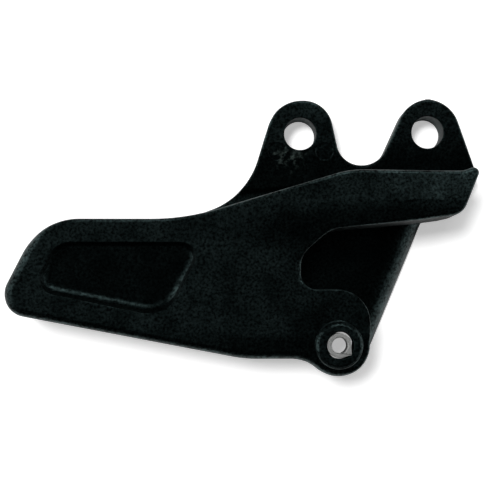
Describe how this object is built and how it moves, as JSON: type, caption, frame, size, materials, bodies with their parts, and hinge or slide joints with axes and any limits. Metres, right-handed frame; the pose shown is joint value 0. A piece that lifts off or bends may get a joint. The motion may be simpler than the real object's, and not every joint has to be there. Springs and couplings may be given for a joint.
{
  "type": "motorcycle chain guide",
  "caption": "Moulded plastic chain guide with bolt ears on the far wall, a slide floor and channel for the chain, a long tail with a sunk pad, and a sleeved lower bolt boss.",
  "frame": {"origin": "middle of the underside of the bounding box, on the far wall's outer face", "axes": "+X along the guide from the tail towards the chain's way in, +Y from the lower boss towards the ears, +Z from the far wall to the near wall"},
  "size_m": [0.1996, 0.1176, 0.04],
  "materials": {
    "body": "black nylon with a fine moulded grain",
    "sleeve": "zinc plated, dull grey"
  },
  "bodies": {
    "root": {"guide_body": "body", "boss_sleeve": "sleeve"}
  },
  "joints": []
}
